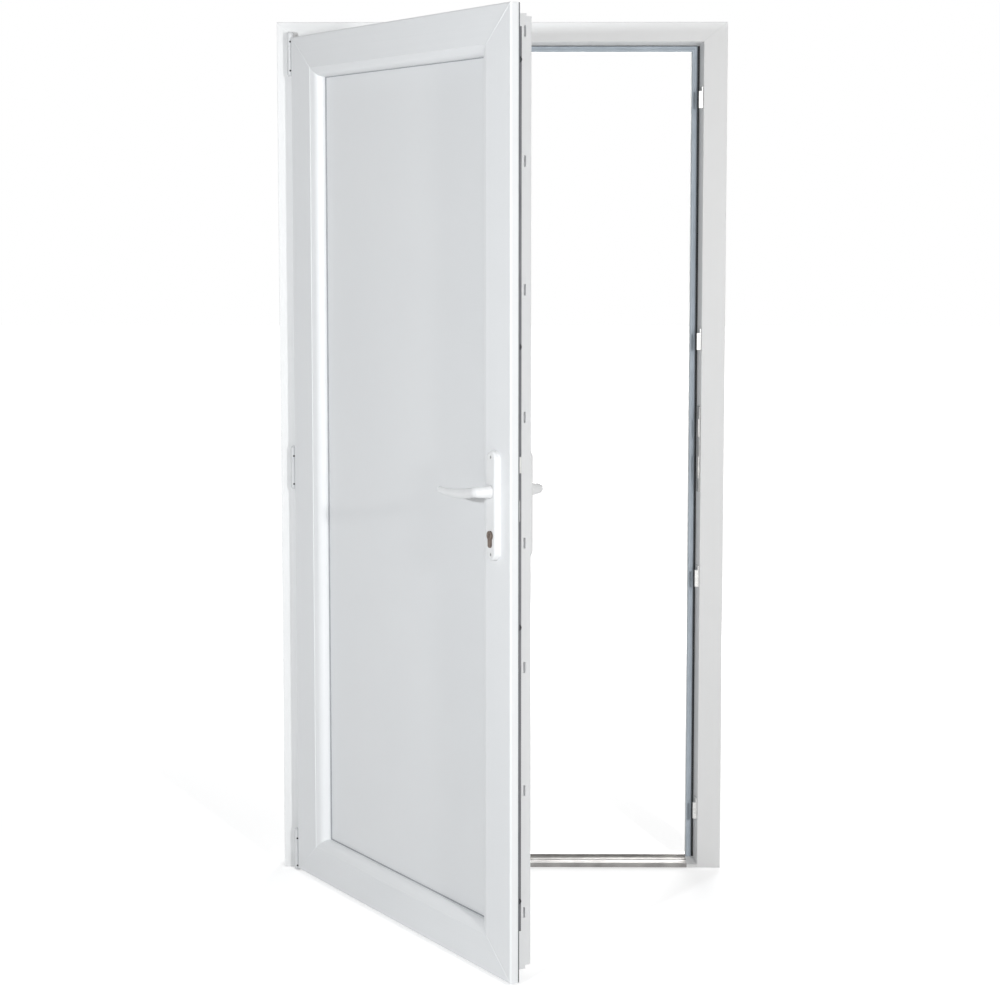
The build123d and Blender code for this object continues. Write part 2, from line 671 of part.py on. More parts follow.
def build_keeps():
    start = FRONT + KEEP_FRONT
    end = start + KEEP_WIDTH
    names = ("keep_bottom", "keep_lower", "keep_upper", "keep_top")
    for node, cam_level in zip(names, cam_levels()):
        low = cam_level - KEEP_DROP - KEEP_HEIGHT / 2
        plate = bar("Z", low, low + KEEP_HEIGHT, keep_plan(start, end, KEEP_PLATE))
        claw_plan = keep_plan(start, start + CLAW_THICK, KEEP_PLATE + CLAW_OUT)
        save(node, plate + bar("Z", low, low + CLAW_HEIGHT, claw_plan))
    strike_low = DEAD_BOLT_LEVEL - DEAD_BOLT_HEIGHT / 2 - STRIKE_BELOW
    strike_high = LATCH_LEVEL + LATCH_HEIGHT / 2 + STRIKE_ABOVE
    strike = bar("Z", strike_low, strike_high, keep_plan(start, end, KEEP_PLATE))
    lip_plan = keep_plan(start, start + STRIKE_LIP_THICK, KEEP_PLATE + STRIKE_LIP_OUT)
    for level, height in ((LATCH_LEVEL, LATCH_HEIGHT), (DEAD_BOLT_LEVEL, DEAD_BOLT_HEIGHT)):
        half = height / 2 + STRIKE_PLAY
        strike -= block(
            (STOP_EDGE, REBATE), (start + STRIKE_MARGIN, end - STRIKE_MARGIN), (level - half, level + half)
        )
        strike += bar("Z", level - half, level + half, lip_plan)
    save("main_strike", strike)


# Handles: a long plate and a curved lever on each face, on one square spindle

def handle_plate():
    height = PLATE_ABOVE + PLATE_BELOW
    middle = LEVER_LEVEL + (PLATE_ABOVE - PLATE_BELOW) / 2
    seat = through_leaf(LEVER_X, middle, LEAF_FRONT)
    plate = extrude(seat * SlotOverall(height, PLATE_WIDTH, rotation=90), amount=PLATE_THICK)
    rim = plate.faces().sort_by(Axis.Y)[0].edges()
    plate = fillet(rim, PLATE_ROUND)
    plate -= cross_pin(LEVER_X, LEVER_LEVEL, PLATE_FACE, LEAF_FRONT, NECK_RADIUS + NECK_PLAY)
    for end in (-1, 1):
        level = middle + end * (height / 2 - SCREW_INSET)
        plate -= cross_pin(LEVER_X, level, PLATE_FACE, LEAF_FRONT, SCREW_HOLE)
        plate -= cone_out(LEVER_X, level, PLATE_FACE + SCREW_SINK_DEPTH, PLATE_FACE, SCREW_HOLE, SCREW_SINK)
    return plate - cylinder_hole(CYLINDER_PLAY)


def lever():
    """A neck with a cone on the plate, a bent elbow, and a grip that droops and thins to the tip."""
    grip_depth = LEAF_FRONT - LEVER_STANDOFF
    bend_start = (LEVER_X, grip_depth + ELBOW_RADIUS, LEVER_LEVEL)
    bend_end = (LEVER_X - ELBOW_RADIUS, grip_depth, LEVER_LEVEL)
    neck = cross_pin(LEVER_X, LEVER_LEVEL, bend_start[1], LEAF_FRONT, NECK_RADIUS)
    cone_start = PLATE_FACE - NECK_PLAY
    neck += cone_out(LEVER_X, LEVER_LEVEL, cone_start, bend_start[1], COLLAR_RADIUS, NECK_RADIUS)
    bend = TangentArc(bend_start, bend_end, tangent=(0, -1, 0))
    ring_face = Plane(origin=bend_start, z_dir=(0, -1, 0)) * Circle(NECK_RADIUS)
    elbow = sweep(ring_face, path=bend)
    run = LEVER_REACH - ELBOW_RADIUS
    sections = [Plane(origin=bend_end, x_dir=(0, -1, 0), z_dir=(-1, 0, 0)) * Circle(NECK_RADIUS)]
    for step in range(1, GRIP_STEPS + 1):
        along = step / GRIP_STEPS
        dip = LEVER_DIP * sin(LEVER_BOW * along ** 0.9)
        half_height = NECK_RADIUS + (LEVER_TIP_HEIGHT / 2 - NECK_RADIUS) * along ** 2
        half_depth = NECK_RADIUS + (LEVER_TIP_DEPTH / 2 - NECK_RADIUS) * along ** 0.7
        place = Plane(
            origin=(bend_end[0] - run * along, grip_depth, LEVER_LEVEL - dip),
            x_dir=(0, -1, 0),
            z_dir=(-1, 0, 0),
        )
        sections.append(place * Ellipse(half_depth, half_height))
    return neck + elbow + loft(sections, ruled=True)


def build_handles():
    plate = handle_plate()
    save_on_leaf("inside_plate", plate)
    save_on_leaf("outside_plate", mirror(plate, about=LEAF_MIDDLE))
    inside = lever()
    save_on_leaf("inside_lever", inside)
    save_on_leaf("outside_lever", mirror(inside, about=LEAF_MIDDLE))
    half = SPINDLE_SIZE / 2
    spindle = block(
        (LEVER_X - half, LEVER_X + half),
        (LEAF_FRONT, LEAF_BACK),
        (LEVER_LEVEL - half, LEVER_LEVEL + half),
    )
    save_on_leaf("lever_spindle", spindle)
    cylinder = cylinder_hole(0)
    for face, inward in ((PLATE_FACE - CYLINDER_OUT, 1), (LEAF_BACK + PLATE_THICK + CYLINDER_OUT, -1)):
        floor = face + inward * KEYWAY_DEPTH
        cylinder -= block(
            (LEVER_X - KEYWAY_WIDTH / 2, LEVER_X + KEYWAY_WIDTH / 2),
            (min(face, floor), max(face, floor)),
            (CYLINDER_LEVEL - KEYWAY_HEIGHT / 2, CYLINDER_LEVEL + KEYWAY_HEIGHT / 2),
        )
    save_on_leaf("lock_cylinder", cylinder)


os.makedirs("parts", exist_ok=True)
build_frame()
build_threshold()
build_frame_seals()
build_leaf_frame()
build_panel()
build_beads()
build_hinges()
build_flange_seal()
build_lock()
build_keeps()
build_handles()
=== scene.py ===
"""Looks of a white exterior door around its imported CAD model. Metres, +Z up, hinges at -X."""

from math import atan2, cos, radians, sin

import bmesh
import bpy
from mathutils import Matrix, Vector


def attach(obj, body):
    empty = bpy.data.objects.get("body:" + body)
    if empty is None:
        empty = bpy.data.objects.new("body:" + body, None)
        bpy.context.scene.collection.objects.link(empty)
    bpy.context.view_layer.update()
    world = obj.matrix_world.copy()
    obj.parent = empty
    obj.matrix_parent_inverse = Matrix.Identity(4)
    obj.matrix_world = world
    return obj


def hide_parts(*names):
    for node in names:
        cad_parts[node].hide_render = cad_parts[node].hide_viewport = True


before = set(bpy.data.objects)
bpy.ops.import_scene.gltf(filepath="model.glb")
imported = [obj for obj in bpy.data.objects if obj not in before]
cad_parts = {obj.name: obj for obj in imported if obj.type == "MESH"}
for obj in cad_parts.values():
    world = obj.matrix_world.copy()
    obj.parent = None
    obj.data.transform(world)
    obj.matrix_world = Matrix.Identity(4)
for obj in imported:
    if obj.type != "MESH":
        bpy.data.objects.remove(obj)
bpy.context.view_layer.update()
scene = bpy.context.scene


# Frame: two jambs and a head, sawn from one extruded white plastic profile and welded at the mitres.
# The extruder leaves faint lines along each bar, and the trimmed weld stays as a fine ridge.

class Flow:
    """A socket on its way to a shader. Sums, differences and products of flows add Math nodes."""

    def __init__(self, tree, socket=None):
        self.tree = tree
        self.socket = socket

    def node(self, kind, settings=None, sockets=None, output=0):
        """Any other node: its type, its settings, what its sockets take and the output to read."""
        made = self.tree.nodes.new(kind)
        for name, value in (settings or {}).items():
            if name == "stops":
                for element, (position, colour) in zip(made.color_ramp.elements, value):
                    element.position = position
                    element.color = (*colour, 1.0)
            else:
                setattr(made, name, value)
        for name, value in (sockets or {}).items():
            if isinstance(value, Flow):
                self.tree.links.new(value.socket, made.inputs[name])
            else:
                made.inputs[name].default_value = value
        return Flow(self.tree, made.outputs[output])

    def math(self, operation, first, second):
        return self.node("ShaderNodeMath", {"operation": operation}, {0: first, 1: second})

    def __add__(self, other):
        return self.math("ADD", self, other)

    def __radd__(self, other):
        return self.math("ADD", other, self)

    def __sub__(self, other):
        return self.math("SUBTRACT", self, other)

    def __rsub__(self, other):
        return self.math("SUBTRACT", other, self)

    def __mul__(self, other):
        return self.math("MULTIPLY", self, other)

    def __rmul__(self, other):
        return self.math("MULTIPLY", other, self)


def new_finish(name, **constants):
    """A material whose shader takes the constants on its own sockets; also gives the place flow."""
    material = bpy.data.materials.new(name)
    material.use_nodes = True
    tree = material.node_tree
    shader = tree.nodes["Principled BSDF"]
    for socket, value in constants.items():
        shader.inputs[socket.replace("_", " ")].default_value = value
    place = Flow(tree).node("ShaderNodeTexCoord", output="Object")
    return material, shader, place


def feed(shader, **flows):
    """Link flows to the shader's sockets."""
    for socket, flow in flows.items():
        flow.tree.links.new(flow.socket, shader.inputs[socket.replace("_", " ")])


def noise(place, size, turn, detail):
    """Noise whose grain has this size along each axis, turned about the upright."""
    mapped = place.node(
        "ShaderNodeMapping",
        {"vector_type": "TEXTURE"},
        {"Vector": place, "Rotation": (0, 0, turn), "Scale": size},
    )
    return mapped.node("ShaderNodeTexNoise", None, {"Vector": mapped, "Scale": 1.0, "Detail": detail})


def even(place, size, turn=0.0, detail=4.0):
    """Noise with the same grain every way."""
    return noise(place, (size, size, size), turn, detail)


def streaks(place, width, length, along, turn=0.0, detail=2.0):
    """Noise drawn out along one axis."""
    size = [width, width, width]
    size[along] = length
    return noise(place, size, turn, detail)


def tint(amount, low, high):
    """A colour between two, by an amount from 0 to 1."""
    return amount.node("ShaderNodeValToRGB", {"stops": ((0.25, low), (0.75, high))}, {"Fac": amount})


def bump(height, strength, distance):
    """A relief for the shader's normal."""
    return height.node(
        "ShaderNodeBump", None, {"Height": height, "Strength": strength, "Distance": distance}
    )


UPRIGHT = 2
LEVEL = 0


def white_plastic(name, along, low, high, turn=0.0):
    """Extruded plastic: lines drawn out along the bar, slow clouds of tone, soft gloss."""
    material, shader, place = new_finish(name, IOR=1.5)
    lines = streaks(place, 0.0022, 0.6, along, turn)
    clouds = even(place, 0.30, turn)
    grain = even(place, 0.0009, turn, 2.0)
    feed(
        shader,
        Base_Color=tint(0.35 * lines + 0.65 * clouds, low, high),
        Roughness=0.36 + 0.10 * clouds + 0.06 * lines,
        Normal=bump(0.7 * lines + 0.3 * grain, 0.10, 0.0004),
    )
    return material


def dress(material, *nodes):
    """Give CAD nodes their finish."""
    for node in nodes:
        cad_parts[node].material_slots[0].material = material


def piece(name, bm, material, body, sharp=35.0):
    """Close a bmesh into a piece that rides on a body and takes the given finish."""
    bmesh.ops.recalc_face_normals(bm, faces=bm.faces)
    mesh = bpy.data.meshes.new(name)
    bm.to_mesh(mesh)
    bm.free()
    mesh.shade_smooth()
    mesh.set_sharp_from_angle(angle=radians(sharp))
    mesh.materials.append(material)
    made = bpy.data.objects.new(name, mesh)
    scene.collection.objects.link(made)
    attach(made, body)
    return made


def edges_of(verts):
    """Every edge that meets these corners, each once."""
    return list(dict.fromkeys(edge for vert in verts for edge in vert.link_edges))


def round_edges(bm, edges, radius, segments=2):
    """Round edges off."""
    bmesh.ops.bevel(
        bm, geom=edges, offset=radius, segments=segments, profile=0.5, affect="EDGES", material=-1
    )


def bar(bm, size):
    """A square-edged bar about the origin; gives its corners."""
    corners = bmesh.ops.create_cube(bm, size=1.0)["verts"]
    bmesh.ops.scale(bm, vec=size, verts=corners)
    return corners


WELD_WIDTH = 0.0024
WELD_ROUND = 0.0003


def weld_ridge(bm, face, height, start, end):
    """A fine ridge on an upright face, from one corner (x, z) to another."""
    run = Vector((end[0] - start[0], 0.0, end[1] - start[1]))
    ridge = bar(bm, (run.length, height, WELD_WIDTH))
    bmesh.ops.rotate(bm, matrix=Matrix.Rotation(-atan2(run.z, run.x), 3, "Y"), verts=ridge)
    middle = ((start[0] + end[0]) / 2, face, (start[1] + end[1]) / 2)
    bmesh.ops.translate(bm, vec=middle, verts=ridge)
    round_edges(bm, edges_of(ridge), WELD_ROUND)


def corner_welds(bm, welds):
    """Ridges on both sides of the door, from the outer corner of each mitre to the inner one."""
    for side in (-1, 1):
        for face, height, outer, inner in welds:
            weld_ridge(bm, face, height, (side * outer[0], outer[1]), (side * inner[0], inner[1]))


FRAME_LOW = (0.805, 0.810, 0.812)
FRAME_HIGH = (0.838, 0.841, 0.842)
FRAME_FRONT = -0.035
FRAME_BACK = 0.035
FRAME_WELDS = (
    (FRAME_FRONT, 0.0007, (0.5430, 2.0882), (0.4885, 2.0434)),
    (FRAME_BACK, 0.0007, (0.5430, 2.0882), (0.4625, 2.0220)),
)
jamb_plastic = white_plastic("jamb_plastic", UPRIGHT, FRAME_LOW, FRAME_HIGH)
dress(jamb_plastic, "left_jamb", "right_jamb")
dress(white_plastic("head_plastic", LEVEL, FRAME_LOW, FRAME_HIGH), "frame_head")

bm = bmesh.new()
corner_welds(bm, FRAME_WELDS)
piece("frame_welds", bm, jamb_plastic, "frame")


# Threshold: a low extruded aluminium sill, natural anodised, screwed between the jambs' feet.
# Fine ribs on the tread give grip, and moulded plastic blocks close its ends against the rebates.

def drawn_metal(name, low, high, along, length, rough, turn=0.0):
    """Metal with fine lines along its length."""
    material, shader, place = new_finish(name, Metallic=1.0)
    lines = streaks(place, 0.0007, length, along, turn, 3.0)
    clouds = even(place, 0.05, turn)
    feed(
        shader,
        Base_Color=tint(0.5 * lines + 0.5 * clouds, low, high),
        Roughness=rough + 0.14 * lines + 0.08 * clouds,
        Normal=bump(lines, 0.16, 0.0003),
    )
    return material


def moulded_plastic(name, low, high, rough):
    """Moulded plastic with a fine eroded skin."""
    material, shader, place = new_finish(name, IOR=1.5)
    skin = even(place, 0.0007, detail=2.0)
    clouds = even(place, 0.04)
    feed(
        shader,
        Base_Color=tint(clouds, low, high),
        Roughness=rough + 0.12 * clouds,
        Normal=bump(skin, 0.20, 0.0003),
    )
    return material


SILL_LOW = (0.17, 0.165, 0.16)
SILL_HIGH = (0.46, 0.45, 0.44)
SILL_ROUGH = 0.24
BLOCK_LOW = (0.74, 0.74, 0.74)
BLOCK_HIGH = (0.80, 0.80, 0.80)
BLOCK_ROUGH = 0.42
RIB_SIZE = (0.922, 0.0016, 0.0012)
RIB_ROUND = 0.0004
RIB_PLACES = (
    (-0.0285, 0.01115), (-0.0240, 0.01135), (-0.0195, 0.01155), (-0.0150, 0.01175),
    (0.0015, 0.01248), (0.0060, 0.01265), (0.0105, 0.01285),
)
sill_metal = drawn_metal("sill_aluminium", SILL_LOW, SILL_HIGH, LEVEL, 0.5, SILL_ROUGH)
dress(sill_metal, "threshold")
end_plastic = moulded_plastic("end_block_plastic", BLOCK_LOW, BLOCK_HIGH, BLOCK_ROUGH)
dress(end_plastic, "threshold_end_left", "threshold_end_right")

bm = bmesh.new()
for depth, height in RIB_PLACES:
    rib = bar(bm, RIB_SIZE)
    bmesh.ops.translate(bm, vec=(0.0, depth, height), verts=rib)
round_edges(bm, bm.edges[:], RIB_ROUND)
piece("threshold_ribs", bm, sill_metal, "frame")


# Stop seals: blue-grey rubber with a round lip and a low rib, pushed into a groove of the stop.
# Cut at the top corners on the mitre. A narrow dark strip in each corner beside the seal is painted
# shade: it stands in for the shadow that the rebate wall casts there.

def rubber(name, low, high, along, turn=0.0):
    """Matt rubber: fine lines along the strip and a faint bloom."""
    material, shader, place = new_finish(name, IOR=1.45)
    lines = streaks(place, 0.0012, 0.2, along, turn)
    bloom = even(place, 0.03, turn, 5.0)
    feed(
        shader,
        Base_Color=tint(0.4 * lines + 0.6 * bloom, low, high),
        Roughness=0.50 + 0.22 * bloom,
        Normal=bump(lines, 0.25, 0.0003),
    )
    return material


SEAL_LOW = (0.40, 0.455, 0.51)
SEAL_HIGH = (0.53, 0.59, 0.65)
SEAL_FOOT = 0.015
SEAL_EDGE = 0.463
SEAL_BOTTOM = 0.0152
SEAL_HEAD = 2.02256
SEAL_SPARE = 0.02
HEAD_REACH = 0.5
LIP_SHARP = 50.0
SEAL_PROFILE = (
    (0.0000, 0.0150), (0.0130, 0.0150), (0.0130, 0.0136), (0.0122, 0.0128), (0.0098, 0.0126),
    (0.0086, 0.0131), (0.0080, 0.0140), (0.0072, 0.0138), (0.0064, 0.0126), (0.0048, 0.0121),
    (0.0028, 0.0120), (0.0012, 0.0123), (0.0003, 0.0131), (0.0000, 0.0140),
)


def seal_strip(bm, ends, corner):
    """The seal's section drawn out between two levels; corner gives a point of the section there."""
    rim = [bm.verts.new(corner(across, depth, ends[0])) for across, depth in SEAL_PROFILE]
    face = bm.faces.new(rim)
    drawn = bmesh.ops.extrude_face_region(bm, geom=[face])["geom"]
    moved = [item for item in drawn if isinstance(item, bmesh.types.BMVert)]
    step = Vector(corner(0.0, 0.0, ends[1])) - Vector(corner(0.0, 0.0, ends[0]))
    bmesh.ops.translate(bm, vec=step, verts=moved)


def mitre(bm, point, outward):
    """Saw through everything at a point and close the cut."""
    geom = bm.verts[:] + bm.edges[:] + bm.faces[:]
    cut = bmesh.ops.bisect_plane(
        bm, geom=geom, plane_co=point, plane_no=outward, clear_outer=True
    )["geom_cut"]
    edges = [item for item in cut if isinstance(item, bmesh.types.BMEdge)]
    bmesh.ops.contextual_create(bm, geom=edges)


jamb_rubber = rubber("jamb_seal_rubber", SEAL_LOW, SEAL_HIGH, UPRIGHT)
head_rubber = rubber("head_seal_rubber", SEAL_LOW, SEAL_HIGH, LEVEL)
for side, name in ((-1, "left"), (1, "right")):
    bm = bmesh.new()
    seal_strip(
        bm,
        (SEAL_BOTTOM, SEAL_HEAD + SEAL_SPARE),
        lambda across, depth, level: (side * (SEAL_EDGE + across), depth, level),
    )
    mitre(bm, (side * SEAL_EDGE, SEAL_FOOT, SEAL_HEAD), (-side, 0.0, 1.0))
    seal = piece(f"seal_lip_{name}", bm, jamb_rubber, "frame", LIP_SHARP)
    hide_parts(f"stop_seal_{name}")
bm = bmesh.new()
seal_strip(
    bm,
    (-HEAD_REACH, HEAD_REACH),
    lambda across, depth, level: (level, depth, SEAL_HEAD + across),
)
for side in (-1, 1):
    mitre(bm, (side * SEAL_EDGE, SEAL_FOOT, SEAL_HEAD), (side, 0.0, -1.0))
seal = piece("seal_lip_head", bm, head_rubber, "frame", LIP_SHARP)
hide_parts("stop_seal_head")

# Painted shade: thin dark bars laid on the stop in the corners between seal and rebate wall, where the
# wall's shadow falls.
PAINTED_SHADE_LOW = (0.025, 0.028, 0.032)
PAINTED_SHADE_HIGH = (0.060, 0.064, 0.070)
SHADE_STRIP_ROUND = 0.0002
JAMB_SHADE_STRIP = (0.0052, 0.0007, 2.0210)
HEAD_SHADE_STRIP = (0.9520, 0.0007, 0.0018)
SHADE_STRIPS = (
    (JAMB_SHADE_STRIP, (-0.4790, SEAL_FOOT, 1.0257)),
    (JAMB_SHADE_STRIP, (0.4790, SEAL_FOOT, 1.0257)),
    (HEAD_SHADE_STRIP, (0.0, SEAL_FOOT, 2.0367)),
)
shade_strip_paint = rubber("painted_shade_strip", PAINTED_SHADE_LOW, PAINTED_SHADE_HIGH, UPRIGHT)
bm = bmesh.new()
for size, middle in SHADE_STRIPS:
    foot = bar(bm, size)
    bmesh.ops.translate(bm, vec=middle, verts=foot)
round_edges(bm, bm.edges[:], SHADE_STRIP_ROUND)
piece("painted_corner_shade_strips", bm, shade_strip_paint, "frame")


# Keeps: pressed and zinc-plated steel, screwed to the lock jamb's leaning rebate wall.
# Plating leaves fine crystals and a dull shine. Each screw is countersunk with a cross recess.

def plated_steel(name, low, high, rough):
    """Plated metal: small crystals, clouds of tone and a few upright scratches."""
    material, shader, place = new_finish(name, Metallic=1.0)
    crystals = place.node(
        "ShaderNodeTexVoronoi", {"feature": "F1"}, {"Vector": place, "Scale": 420.0}, "Color"
    )
    grey = crystals.node("ShaderNodeRGBToBW", None, {"Color": crystals})
    clouds = even(place, 0.02)
    scratches = streaks(place, 0.0006, 0.03, UPRIGHT, 0.3)
    feed(
        shader,
        Base_Color=tint(0.35 * grey + 0.65 * clouds, low, high),
        Roughness=rough + 0.16 * clouds + 0.06 * grey,
        Normal=bump(0.5 * scratches + 0.5 * grey, 0.12, 0.0002),
    )
    return material


def cross_screw(bm, place, outward, radius):
    """A screw head with a cross recess; its flat rim lies at the place."""
    arm = 0.20 * radius
    reach = 0.60 * radius
    sink = 0.40 * radius
    shank = 0.55 * radius
    taper = 0.7
    cross = (
        (reach, -arm), (reach, arm), (arm, arm), (arm, reach), (-arm, reach), (-arm, arm),
        (-reach, arm), (-reach, -arm), (-arm, -arm), (-arm, -reach), (arm, -reach), (arm, -arm),
    )
    recess = bm.faces.new([bm.verts.new((x, y, 0.0)) for x, y in cross])
    inner_edges = recess.edges[:]
    rim = bmesh.ops.create_circle(bm, segments=24, radius=radius)["verts"]
    rim_edges = edges_of(rim)
    ring = bmesh.ops.bridge_loops(bm, edges=inner_edges + rim_edges)["faces"]
    sunk = bmesh.ops.extrude_discrete_faces(bm, faces=[recess])["faces"]
    bmesh.ops.translate(bm, vec=(0.0, 0.0, -sink), verts=sunk[0].verts[:])
    skirt = bmesh.ops.extrude_edge_only(bm, edges=rim_edges)["geom"]
    foot = [item for item in skirt if isinstance(item, bmesh.types.BMVert)]
    foot_edges = [item for item in skirt if isinstance(item, bmesh.types.BMEdge)]
    bmesh.ops.translate(bm, vec=(0.0, 0.0, -shank), verts=foot)
    bmesh.ops.scale(bm, vec=(taper, taper, 1.0), verts=foot)
    bottom = bmesh.ops.contextual_create(bm, geom=foot_edges)["faces"]
    verts = {vert for face in ring + sunk + bottom for vert in face.verts}
    verts |= set(rim) | set(foot)
    aim = Vector(outward).to_track_quat("Z", "Y").to_matrix().to_4x4()
    bmesh.ops.transform(bm, matrix=Matrix.Translation(place) @ aim, verts=list(verts))


ZINC_LOW = (0.46, 0.46, 0.45)
ZINC_HIGH = (0.68, 0.68, 0.67)
STRIKE_LOW = (0.22, 0.22, 0.22)
STRIKE_HIGH = (0.46, 0.46, 0.45)
SCREW_LOW = (0.30, 0.30, 0.30)
SCREW_HIGH = (0.52, 0.52, 0.51)
keep_zinc = plated_steel("keep_zinc", ZINC_LOW, ZINC_HIGH, 0.30)
dress(keep_zinc, "keep_top", "keep_upper", "keep_lower", "keep_bottom")
dress(plated_steel("strike_zinc", STRIKE_LOW, STRIKE_HIGH, 0.32), "main_strike")
screw_steel = plated_steel("screw_steel", SCREW_LOW, SCREW_HIGH, 0.28)

KEEP_LEVELS = (0.1495, 0.7365, 1.3235, 1.9105)
KEEP_SCREW = 0.019
KEEP_THICK = 0.0027
STRIKE_SCREWS = (0.966, 1.050, 1.148)
STRIKE_SCREW_DEPTH = -0.015
WALL_FRONT = 0.488
WALL_LEAN = 0.12
WALL_NORMAL = (-1.0, -WALL_LEAN, 0.0)
SCREW_RADIUS = 0.0036
SCREW_DEPTH = -0.012
SCREW_X = WALL_FRONT - WALL_LEAN * (SCREW_DEPTH - FRAME_FRONT) - KEEP_THICK
bm = bmesh.new()
for level in KEEP_LEVELS:
    for offset in (-KEEP_SCREW, KEEP_SCREW):
        cross_screw(bm, (SCREW_X, SCREW_DEPTH, level + offset), WALL_NORMAL, SCREW_RADIUS)
for level in STRIKE_SCREWS:
    cross_screw(bm, (SCREW_X, STRIKE_SCREW_DEPTH, level), WALL_NORMAL, SCREW_RADIUS)
piece("keep_screws", bm, screw_steel, "frame")


# Hinges: three, each a frame half with its pin and a leaf half with two knuckles.
# Cast and pressed metal under white powder coat, with end caps and a set screw in each knuckle.

def powder_coat(name, low, high):
    """Baked powder: an even orange-peel skin with a soft gloss."""
    material, shader, place = new_finish(name, IOR=1.5, Coat_Roughness=0.18, Coat_Weight=0.15)
    peel = even(place, 0.0016, detail=1.0)
    clouds = even(place, 0.05)
    feed(
        shader,
        Base_Color=tint(clouds, low, high),
        Roughness=0.28 + 0.10 * clouds,
        Normal=bump(peel, 0.12, 0.0004),
    )
    return material


HINGE_LOW = (0.64, 0.65, 0.66)
HINGE_HIGH = (0.70, 0.71, 0.72)
PIN_X = -0.510
PIN_Y = -0.0565
HINGE_LEVELS = (0.052, 1.010, 2.012)
HINGE_HALF = 0.051
KNUCKLE = 0.0085
CAP_RADIUS = 0.0064
CAP_DEPTH = 0.0022
CAP_ROUND = 0.0011
CAP_LIFT = 0.0010
LOWEST_CAP = 0.01
SET_SCREWS = (-0.040, 0.029)
SET_SCREW_RADIUS = 0.0023
SET_SCREW_FACE = PIN_Y - KNUCKLE - 0.0001
hinge_coat = powder_coat("hinge_coat", HINGE_LOW, HINGE_HIGH)
for place in ("top", "middle", "bottom"):
    dress(hinge_coat, f"hinge_frame_{place}", f"hinge_leaf_{place}")


def end_cap(bm, seat, up):
    """A round lid on one end of a hinge, with its outer rim rounded."""
    lid = bmesh.ops.create_cone(
        bm, cap_ends=True, segments=32, radius1=CAP_RADIUS, radius2=CAP_RADIUS, depth=CAP_DEPTH,
        matrix=Matrix.Translation(seat),
    )["verts"]
    sides = {face for vert in lid for face in vert.link_faces}
    outer = max(sides, key=lambda face: up * face.calc_center_median().z)
    round_edges(bm, outer.edges[:], CAP_ROUND, 3)


caps = bmesh.new()
sockets = bmesh.new()
for level in HINGE_LEVELS:
    for up in (-1, 1):
        end = level + up * (HINGE_HALF + CAP_LIFT)
        if end > LOWEST_CAP:
            end_cap(caps, (PIN_X, PIN_Y, end), up)
    for offset in SET_SCREWS:
        seat = (PIN_X, SET_SCREW_FACE, level + offset)
        cross_screw(sockets, seat, (0.0, -1.0, 0.0), SET_SCREW_RADIUS)
piece("hinge_caps", caps, hinge_coat, "leaf")
DARK_LOW = (0.02, 0.02, 0.022)
DARK_HIGH = (0.07, 0.07, 0.075)
dark_steel = plated_steel("dark_steel", DARK_LOW, DARK_HIGH, 0.30)
piece("hinge_set_screws", sockets, dark_steel, "leaf")


# Leaf: stiles and rails of one deeper white extruded profile, welded at the mitres like the frame.
# It hangs open, so its pieces are drawn closed and then turned about the hinge pins.

OPEN_TURN = radians(-57.6)
# The leaf's white is a little cooler than the frame's. The extra blue is a painted cast of the cool
# light on the leaf; the plastic is the same as the frame's.
LEAF_LOW = (0.795, 0.806, 0.818)
LEAF_HIGH = (0.830, 0.839, 0.848)
LEAF_FRONT = -0.063
LEAF_BACK = 0.007
LEAF_WELDS = (
    (LEAF_FRONT, 0.0012, (0.4935, 0.0080), (0.3985, 0.0845)),
    (LEAF_BACK, 0.0007, (0.4645, 0.0314), (0.3800, 0.0995)),
    (LEAF_FRONT, 0.0012, (0.4935, 2.0490), (0.3985, 1.9725)),
    (LEAF_BACK, 0.0007, (0.4645, 2.0256), (0.3800, 1.9575)),
)
stile_plastic = white_plastic("stile_plastic", UPRIGHT, LEAF_LOW, LEAF_HIGH, OPEN_TURN)
rail_plastic = white_plastic("rail_plastic", LEVEL, LEAF_LOW, LEAF_HIGH, OPEN_TURN)
dress(stile_plastic, "hinge_stile", "lock_stile", "hinge_bead", "lock_bead")
dress(rail_plastic, "top_rail", "bottom_rail", "top_bead", "bottom_bead")


def hang(bm):
    """Turn what was drawn on the closed leaf to where the leaf stands."""
    bmesh.ops.rotate(
        bm, cent=(PIN_X, PIN_Y, 0.0), matrix=Matrix.Rotation(OPEN_TURN, 3, "Z"), verts=bm.verts
    )


bm = bmesh.new()
corner_welds(bm, LEAF_WELDS)
hang(bm)
piece("leaf_welds", bm, stile_plastic, "leaf")


# Panel: a foam-cored slab with flat white skins, held between the leaf's legs and the beads.
# The skin is rolled, with a very fine even texture.

# The panel's white is a little darker and cooler than the frame's: painted shade and a painted cool cast
# of the light on the leaf's face.
PANEL_LOW = (0.770, 0.781, 0.793)
PANEL_HIGH = (0.805, 0.814, 0.822)
panel_skin, panel_shader, panel_place = new_finish("panel_skin", IOR=1.5)
panel_clouds = even(panel_place, 0.5, OPEN_TURN)
panel_grain = even(panel_place, 0.0012, OPEN_TURN, 2.0)
feed(
    panel_shader,
    Base_Color=tint(panel_clouds, PANEL_LOW, PANEL_HIGH),
    Roughness=0.34 + 0.10 * panel_clouds,
    Normal=bump(panel_grain, 0.06, 0.0003),
)
dress(panel_skin, "door_panel")


# Leaf seals: grey rubber between panel and bead and panel and leg, darker rubber behind the flange.
# Each is an extruded strip pressed into its groove.

